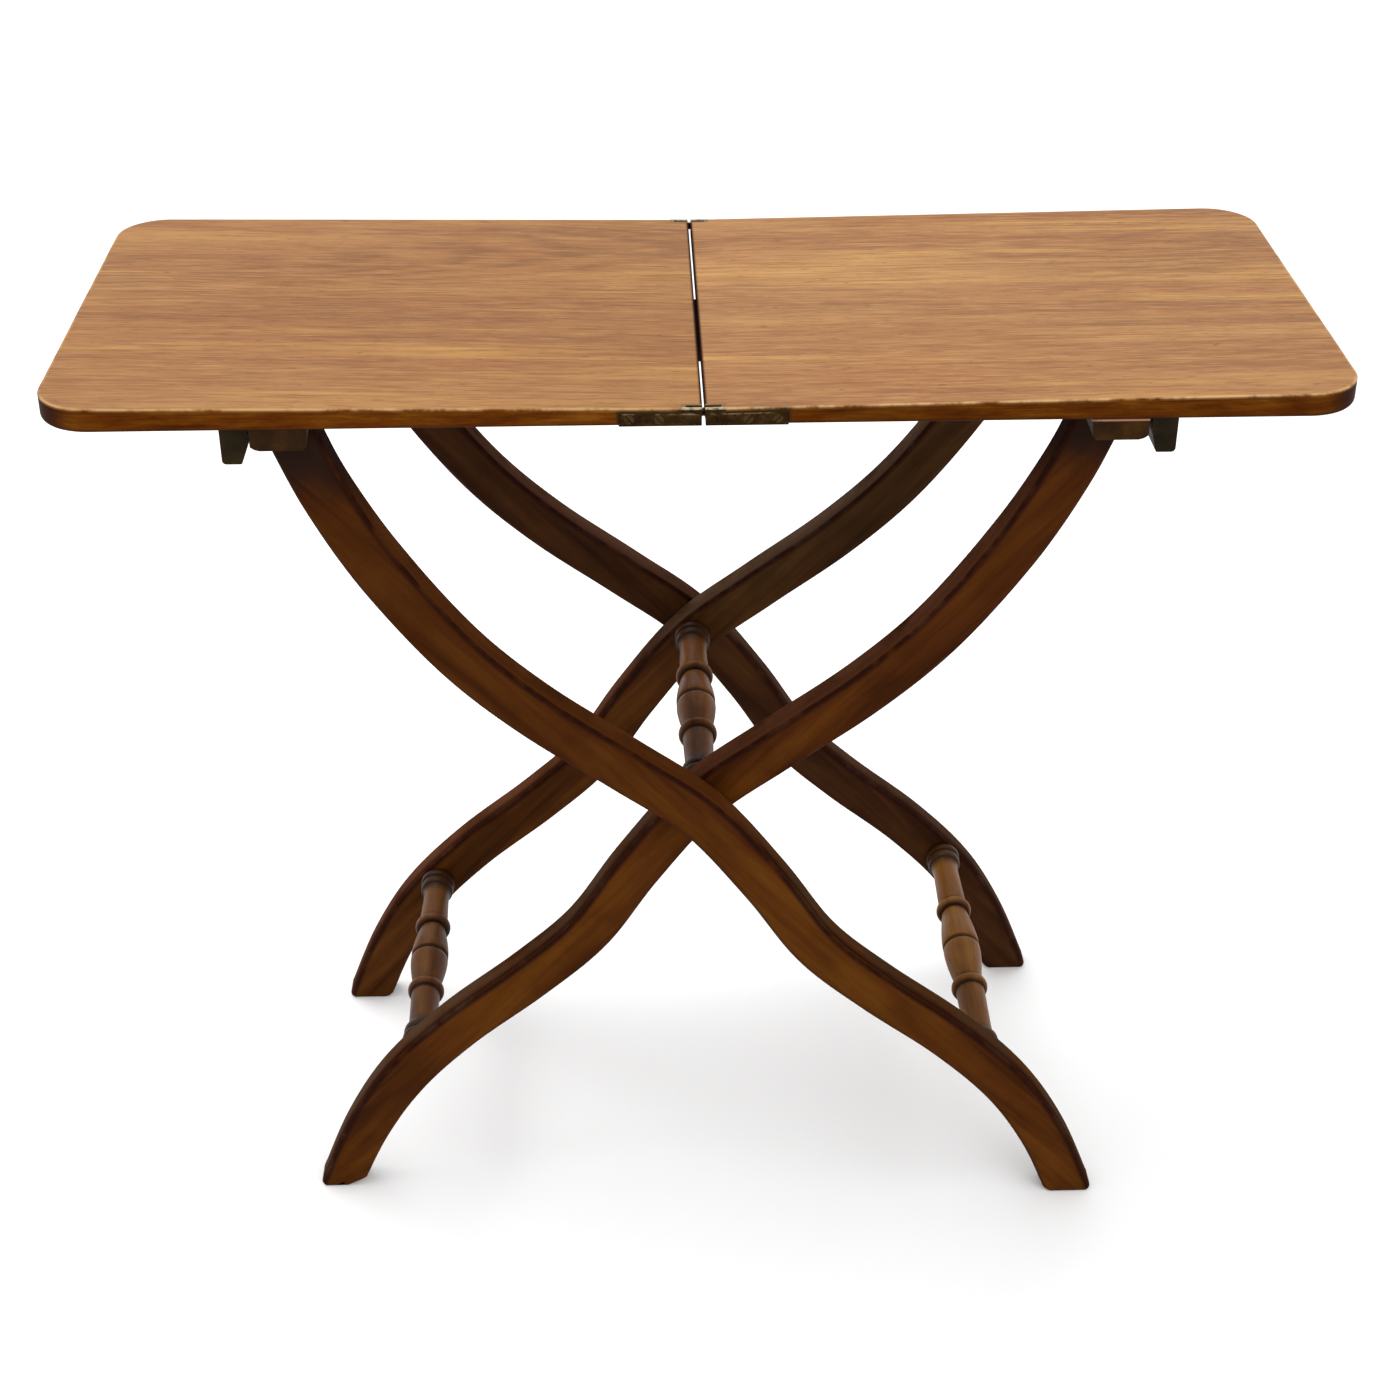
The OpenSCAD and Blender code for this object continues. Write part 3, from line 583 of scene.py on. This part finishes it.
def leg(name, node, body, y0, mirror, holes, material, foot=0.0, foot_wear=False, slim=0.0):
    """A leg of the outer pair from y0 to y0 + 24 mm, or of the inner pair when mirrored."""
    line = [(x + foot * max(0.0, min(1.0, (280 - z) / 230)), z) for x, z in LINE]
    c = catmull(line, 8)
    d = np.gradient(c, axis=0)
    d /= np.linalg.norm(d, axis=1)[:, None]
    nr = np.c_[-d[:, 1], d[:, 0]]
    hw = 18.75 - 1.2 * np.clip((c[:, 1] - 600) / 80, 0, 1)
    up, lo = c - nr * hw[:, None], c + nr * hw[:, None]      # right/upper edge and left/lower edge
    if up[len(up) // 2][1] < lo[len(lo) // 2][1]:
        up, lo = lo, up
    toe = slim * np.clip((110 - c[:, 1]) / 90, 0, 1)
    lo = lo + (up - lo) / np.linalg.norm(up - lo, axis=1)[:, None] * toe[:, None]

    def clip(e, z0, z1):
        s = np.arange(len(e), dtype=float)
        i = np.where((e[:-1, 1] < z0) & (e[1:, 1] >= z0))[0][0]
        a = i + (z0 - e[i, 1]) / (e[i + 1, 1] - e[i, 1])
        j = np.where((e[:-1, 1] < z1) & (e[1:, 1] >= z1))[0][-1]
        b = j + (z1 - e[j, 1]) / (e[j + 1, 1] - e[j, 1])
        return a, b

    a0, a1 = clip(up, 0.0, 723.0)
    b0, b1 = clip(lo, 0.0, 723.0)
    N = 118
    u = np.linspace(0, 1, N)
    s = np.arange(len(c), dtype=float)
    # extra stations at the foot, for its rounded corners
    rf = 5.5
    low = (0.0, 0.25, 0.7, 1.4, 2.3, 3.5, 5.5) + ((6.8, 8.4) if foot_wear else ())
    feet = [(h, rf - math.sqrt(max(0.0, rf * rf - max(0.0, rf - h) ** 2)), max(0.0, 1.2 - h)) for h in low]
    E = lambda e, a: np.c_[np.interp(a, s, e[:, 0]), np.interp(a, s, e[:, 1])]
    U, L = E(up, a0 + (a1 - a0) * u), E(lo, b0 + (b1 - b0) * u)
    st = []
    for h, ins, iy in feet:
        pu = U[0] + (U[1] - U[0]) * (h / max(1e-6, np.linalg.norm(U[1] - U[0])))
        pl = L[0] + (L[1] - L[0]) * (h / max(1e-6, np.linalg.norm(L[1] - L[0])))
        pu[1] = pl[1] = h
        w = (pl - pu) / np.linalg.norm(pl - pu)
        # a worn foot has its inner corner off, 13 mm along the floor and 8 mm up
        inner = max(0.0, 299.0 - 2.05 * h - pl[0]) if foot_wear else ins
        st.append((pu + w * ins, pl - w * inner, iy))
    for i in range(1, N):
        if min(U[i][1], L[i][1]) > low[-1] + 1.0:
            st.append((U[i], L[i], 0.0))
    r = 4.0
    Y = 24.0
    sec = []   # (distance from the upper edge, from the y0 face, is it measured from the far edge)
    def arc(cx, cy, a0_, a1_):
        for k in range(5):
            a = math.radians(a0_ + (a1_ - a0_) * k / 4)
            sec.append((cx + r * math.cos(a), cy + r * math.sin(a)))
    W = 37.5
    arc(r, r, 180, 270)
    sec += [(x, 0.0) for x in (6, 9, 13, 18.7, 24.5, 28.5, 31.5)]
    arc(W - r, r, 270, 360)
    sec += [(W, y) for y in (6, 12, 18)]
    arc(W - r, Y - r, 0, 90)
    sec += [(x, Y) for x in (31.5, 28.5, 24.5, 18.7, 13, 9, 6)]
    arc(r, Y - r, 90, 180)
    sec += [(0.0, y) for y in (18, 12, 6)]
    K = len(sec)
    verts = []
    for pu, pl, ins in st:
        w = pl - pu
        ln = np.linalg.norm(w)
        w = w / ln
        for a, y in sec:
            # keep the roundings their size, stretch only the middle
            if a > W / 2:
                a = ln - (W - a)
            yy_ = min(max(y, ins), Y - ins)
            x, z = pu + w * a
            verts.append((x, yy_, z))
    verts = np.array(verts)
    faces = []
    for k in range(len(st) - 1):
        for i in range(K):
            faces.append([k * K + i, k * K + (i + 1) % K, (k + 1) * K + (i + 1) % K, (k + 1) * K + i])
    faces.append(list(range(K))[::-1])
    faces.append(list(range((len(st) - 1) * K, len(st) * K)))
    verts[:, 1] += y0
    sx = -1.0 if mirror else 1.0
    verts[:, 0] *= sx
    if mirror:
        faces = [f[::-1] for f in faces]
    ob = new_object(name, verts * MM, faces, 42)
    bm = bmesh.new()
    bm.from_mesh(ob.data)
    bmesh.ops.recalc_face_normals(bm, faces=bm.faces)
    bm.to_mesh(ob.data)
    bm.free()
    # room for the end to turn below the board
    end_r = UZ - Q[1] - 0.6
    aa, turn = 90.0, 52.7

    def about(rr, a):
        return np.array([-Q[0] + rr * math.cos(math.radians(a)), Q[1] + rr * math.sin(math.radians(a))])
    p0, p1 = about(end_r, aa), about(end_r, aa - turn)
    a1 = math.radians(aa - turn)
    pts = [p0 + 60 * np.array([-math.sin(math.radians(aa)), math.cos(math.radians(aa))])]
    pts += [about(end_r, a) for a in np.linspace(aa, aa - turn, 13)]
    pts += [p1 + 62 * np.array([math.sin(a1), -math.cos(a1)]), (-185, 665), (-185, 775), (-340, 775)]
    cs = [prism([(sx * x, z) for x, z in pts], y0 - 2, y0 + 26)]
    for hx, hz, hr, ya, yb in holes:
        cs.append(disc(sx * hx, hz, hr, ya, yb))
    cut(ob, cs)
    co = np.empty(len(ob.data.vertices) * 3)
    ob.data.vertices.foreach_get("co", co)
    co = co.reshape(-1, 3) / MM
    x, y, z = co[:, 0] * sx, co[:, 1] - y0, co[:, 2]
    P = np.c_[x, z]
    cc = catmull(line, 24)
    dd = np.gradient(cc, axis=0)
    dd /= np.linalg.norm(dd, axis=1)[:, None]
    nn = np.c_[-dd[:, 1], dd[:, 0]]
    if nn[len(nn) // 2][1] < 0:
        nn = -nn
    d2 = ((P[:, None, :] - cc[None]) ** 2).sum(2)
    j = d2.argmin(1)
    across = ((P - cc[j]) * nn[j]).sum(1)
    # the upper side of a mirrored leg is still its upper side
    da = np.maximum(18.75 - np.abs(across), 0)
    dy = np.maximum(np.minimum(y, 24.0 - y), 0)
    put_attr(ob, "face", np.clip(1.3 - np.maximum(y, 0) / 9.0, 0, 1))
    arris = np.clip(1.0 - (np.maximum(da, dy) - 0.9) / 3.2, 0, 1)
    put_attr(ob, "across", across)
    put_attr(ob, "arris", arris)
    ob.data.materials.clear()
    ob.data.materials.append(material)
    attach(ob, body)
    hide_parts(node)
    return ob


# ------------------------------------------------------------------ turned stretchers
def profile(l, R=16.2, B=15.5, N=11.4):
    """[radius, distance from the middle] of one half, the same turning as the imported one, with its lines smoothed."""
    b = 0.39 * l
    e = b - 5.5
    p = [(R - 2.6, 0.0), (R - 2.55, 1.0), (R - 2.3, 1.5), (R - 1.3, 2.0), (R - 0.5, 2.4), (R - 0.15, 3.0)]
    p += [(N - 0.2 + (R - N + 0.2) * math.cos(math.radians(90 * k / 24)), e * k / 24) for k in range(4, 23)]
    p += [(N - 0.2, e), (N - 0.15, b - 4.9)]

    def arc(c, r1, y0, y1, n):
        return [(c + (r1 - c) * math.sin(math.pi * k / n), y0 + (y1 - y0) * (1 - math.cos(math.pi * k / n)) / 2) for k in range(n + 1)]
    p += arc(N + 0.8, B, b - 4.6, b + 4.6, 16)
    p += [(N + 0.6, b + 5), (N + 0.75, b + 6.5), (N + 0.8, b + 8)]
    for k in range(1, 10):
        t = k / 10
        p.append((N + 0.8 - 0.8 * t * t * (3 - 2 * t), b + 8 + (l - 26 - b - 8) * t))
    p += [(N, l - 26), (N + 0.08, l - 24), (N + 0.3, l - 22), (N + 0.7, l - 20.4), (N + 1.2, l - 19), (N + 1.5, l - 18.4)]
    p += arc(N + 1.8, B - 0.9, l - 18, l - 9, 12)
    p += arc(N + 2.2, B - 0.2, l - 8.5, l - 0.6, 12)
    p += [(N + 2.4, l)]
    return p


def stretcher(name, node, body, x0, z0, l, material, seed):
    h = profile(l)
    prof = [(r, -y) for r, y in h[::-1]] + h[1:]
    S = 96
    verts, faces, gr, lp = [], [], [], []
    b = 0.39 * l
    for i, (r, y) in enumerate(prof):
        a = abs(y)
        g = 0.0
        g = max(g, 1.3 * (1 - abs(a - 0.0) / 3.0))
        g = max(g, 1.25 * (1 - abs(a - (b - 5.4)) / 3.2))
        g = max(g, 1.25 * (1 - abs(a - (b + 5.4)) / 2.8))
        g = max(g, 1 - abs(a - (l - 8.7)) / 1.6)
        g = max(g, 0.8 * (1 - abs(a - (l - 18.6)) / 2.2))
        g = max(g, 1 - (l - a) / 1.5)
        for k in range(S):
            t = 2 * math.pi * k / S
            # hand turned, so not quite round or even
            w = 1.0 - 0.006 - 0.006 * noise.noise(Vector((math.cos(t) * 0.6 + seed, y * 0.03, math.sin(t) * 0.6)))
            verts.append(((x0 + r * w * math.cos(t)) * MM, y * MM, (z0 + r * w * math.sin(t)) * MM))
            gr.append(min(1.0, max(0.0, g)))
            # where the painted highlight on the bead lips falls
            lp.append(max(0.0, 1 - abs(a - 3.9) / 1.3, 0.9 * (1 - abs(a - b) / 2.6), 0.7 * (1 - abs(a - (l - 13.5)) / 2.2)))
    n = len(prof)
    for i in range(n - 1):
        for k in range(S):
            faces.append([i * S + k, i * S + (k + 1) % S, (i + 1) * S + (k + 1) % S, (i + 1) * S + k])
    faces.append(list(range(S))[::-1])
    faces.append(list(range((n - 1) * S, n * S)))
    ob = new_object(name, verts, faces, 60)
    bm = bmesh.new()
    bm.from_mesh(ob.data)
    bmesh.ops.recalc_face_normals(bm, faces=bm.faces)
    bm.to_mesh(ob.data)
    bm.free()
    put_attr(ob, "groove", gr)
    put_attr(ob, "lip_highlight", lp)
    ob.data.materials.append(material)
    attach(ob, body)
    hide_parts(node)
    return ob


# ------------------------------------------------------------------ build
stain(0.46, 0.405, 0.28)
wood_l = top_wood("top_wood_left", 2.0)
stain(0.52, 0.48, 0.37)
wood_r = top_wood("top_wood_right", 8.0)
board("left", "board_left", ("left_top", "top_left"), wood_l)
board("right", "board_right", ("right_top", "top_right"), wood_r)

stain(1, 1, 1)
A_line = lin(32, 9, 3)
# edge colours: for the rubbed arrises, and for the painted light on the upward-facing side
of_edge, of_high = lin(60, 38, 20), lin(84, 44, 13)
if_edge, if_high = lin(74, 52, 36), lin(90, 53, 33)
ob_edge, ob_high = lin(66, 44, 31), lin(76, 48, 34)
ib_edge, ib_high = lin(86, 49, 31), lin(82, 61, 47)
stain(0.33, 0.36, 0.18)
m_of = leg_wood("leg_wood_outer_front", 1, lin(128, 66, 20), lin(92, 42, 12), lin(150, 86, 32), of_edge, of_high, A_line, (0.72, 0.66, 0.78))
stain(0.365, 0.40, 0.26)
m_ob = leg_wood("leg_wood_outer_back", 3, lin(84, 44, 26), lin(58, 28, 16), lin(104, 60, 36), ob_edge, ob_high, A_line)
stain(0.50, 0.49, 0.12)
m_if = leg_wood("leg_wood_inner_front", 2, lin(102, 54, 26), lin(70, 33, 15), lin(124, 72, 34), if_edge, if_high, A_line, (0.75, 0.68, 0.85))
stain(0.64, 0.66, 0.21)
m_ib = leg_wood("leg_wood_inner_back", 4, lin(84, 44, 26), lin(58, 28, 16), lin(104, 60, 36), ib_edge, ib_high, A_line, (0.66, 0.88, 1.80))
leg("leg_of", "leg_outer_front", "outer_legs", -164, False, [(0, 388, 6.1, -154, -139)], m_of, 6.5)
leg("leg_ob", "leg_outer_back", "outer_legs", 140, False, [(0, 388, 6.1, 139, 154)], m_ob, -3.5)
leg("leg_if", "leg_inner_front", "inner_legs", -138.5, True, [(0, 388, 6.0, -140, -113)], m_if, 0.0, True, 2.8)
leg("leg_ib", "leg_inner_back", "inner_legs", 114.5, True, [(0, 388, 6.0, 113, 140)], m_ib)

stain(0.395, 0.33, 0.175)
GD = lin(40, 20, 10)
stretcher("turned_right", "stretcher_right", "outer_legs", 232, 133, 140,
          turned_wood("turned_wood_right", 1, lin(112, 70, 34), lin(158, 108, 60), lin(186, 136, 84), GD, lin(222, 176, 122), 140), 1.0)
stain(0.46, 0.34, 0.15)
stretcher("turned_left", "stretcher_left", "inner_legs", -232, 133, 114.5,
          turned_wood("turned_wood_left", 2, lin(84, 54, 38), lin(120, 84, 60), lin(146, 108, 80), GD, lin(182, 142, 110), 114.5), 2.0)
stain(0.61, 0.405, 0.185)
stretcher("turned_centre", "stretcher_centre", "inner_legs", 0, 388, 114.5,
          turned_wood("turned_wood_centre", 3, lin(80, 54, 40), lin(116, 84, 62), lin(146, 112, 86), GD, lin(186, 150, 122), 114.5), 3.0)


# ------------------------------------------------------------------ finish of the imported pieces
def finish_node(name, material, bevel=0.0, angle=35.0):
    ob = nodes[name]
    if not ob.material_slots:
        ob.data.materials.append(material)
    for s in ob.material_slots:
        s.link = "OBJECT"
        s.material = material
    w = ob.modifiers.new("weld", "WELD")
    w.merge_threshold = 0.00001
    if bevel:
        b = ob.modifiers.new("bevel", "BEVEL")
        b.limit_method = "ANGLE"
        b.angle_limit = math.radians(angle)
        b.width = bevel
        b.segments = 3
        b.harden_normals = False
        b.use_clamp_overlap = True


stain(0.42, 0.31, 0.13)
m_bat = dark_wood("batten_wood", 1, lin(34, 30, 24), lin(52, 47, 38), lin(72, 66, 54))
stain(0.44, 0.34, 0.13)
m_lug = dark_wood("lug_wood", 4, lin(46, 30, 20), lin(66, 46, 32), lin(92, 66, 48))
m_lug2 = dark_wood("lug_wood_wear_and_highlight", 8, lin(46, 30, 18), lin(70, 48, 26), lin(98, 72, 36), lin(232, 186, 240))
stain(0.45, 0.40, 0.3)
m_cleat = dark_wood("cleat_wood", 7, lin(40, 14, 8), lin(62, 24, 14), lin(84, 38, 22))
stain(0.26, 0.175, 0.085)
m_brass = old_metal("aged_brass", 2, [(0.32, lin(58, 46, 26)), (0.48, lin(86, 70, 40)), (0.62, lin(122, 104, 68)), (0.74, lin(150, 132, 94))],
                    lin(40, 30, 16), rubbed_highlight=(0.42, 0.34, 0.20, 1.0))
stain(0.4, 0.3, 0.2)
m_link = old_metal("link_brass", 5, [(0.32, lin(52, 36, 18)), (0.55, lin(84, 62, 34)), (0.72, lin(112, 90, 56))], lin(36, 24, 12))
stain(0.5, 0.45, 0.4)
m_pin = old_metal("pin_iron", 3, [(0.3, lin(58, 52, 46)), (0.6, lin(92, 84, 74))], lin(60, 36, 20))
m_screw = old_metal("screw_steel", 6, [(0.3, lin(66, 58, 46)), (0.6, lin(104, 94, 76))], lin(52, 38, 22))
stain(0.36, 0.28, 0.20)
m_hscrew = old_metal("hinge_screw", 9, [(0.3, lin(78, 64, 40)), (0.6, lin(118, 100, 66))], lin(48, 36, 20), rough=(0.38, 0.6))

for n in ("batten_left", "batten_right"):
    finish_node(n, m_bat, 0.0012, 50)
for n in ("lug_left_front", "lug_left_back", "lug_right_front", "lug_right_back"):
    finish_node(n, m_lug2 if n == "lug_right_front" else m_lug, 0.0009)
finish_node("seam_cleat", m_cleat, 0.001)
for n in ("hinge_leaf_left_front", "hinge_leaf_left_back", "hinge_leaf_right_front", "hinge_leaf_right_back"):
    finish_node(n, m_brass, 0.0003)
for n in ("hinge_link_front", "hinge_link_back"):
    finish_node(n, m_link, 0.0003)
for n in ("hinge_pins_left", "hinge_pins_right", "pivot_pins_left", "pivot_pins_right", "crossing_pins"):
    finish_node(n, m_pin)
for n in ("hinge_screws_left", "hinge_screws_right"):
    finish_node(n, m_hscrew)
for n in ("cleat_screws", "batten_screws_left", "batten_screws_right", "lug_screws_left", "lug_screws_right"):
    finish_node(n, m_screw)

# ------------------------------------------------------------------ floor and light
fm = Mat("floor_plain")
fn = fm.noise(fm.map((3, 3, 3)), 1.0, 2.0, 0.5)
fm.set(Base_Color=fm.ramp(fn, [(0.0, (0.93, 0.93, 0.93)), (1.0, (0.955, 0.955, 0.955))]), Roughness=0.9, Specular_IOR_Level=0.1)
S = 14.0
floor = new_object("floor", [(-S, -S, 0), (S, -S, 0), (S, S, 0), (-S, S, 0)], [[0, 1, 2, 3]])
floor.data.materials.append(fm.m)

w = bpy.data.worlds.new("studio")
w.use_nodes = True
bg = w.node_tree.nodes["Background"]
bg.inputs[0].default_value = (1.0, 1.0, 1.0, 1.0)
bg.inputs[1].default_value = 1.04
bpy.context.scene.world = w


def area(name, loc, target, size, power, col=(1, 1, 1)):
    l = bpy.data.lights.new(name, "AREA")
    l.shape = "RECTANGLE"
    l.size, l.size_y = size
    l.energy = power
    l.color = col
    o = bpy.data.objects.new(name, l)
    o.location = loc
    o.rotation_euler = (Vector(target) - Vector(loc)).to_track_quat("-Z", "Y").to_euler()
    bpy.context.scene.collection.objects.link(o)


area("key", (-0.9, 0.6, 3.2), (0, 0, 0.4), (2.6, 2.2), 62)
area("fill", (1.8, -2.6, 2.0), (0, 0, 0.4), (2.0, 2.0), 21)
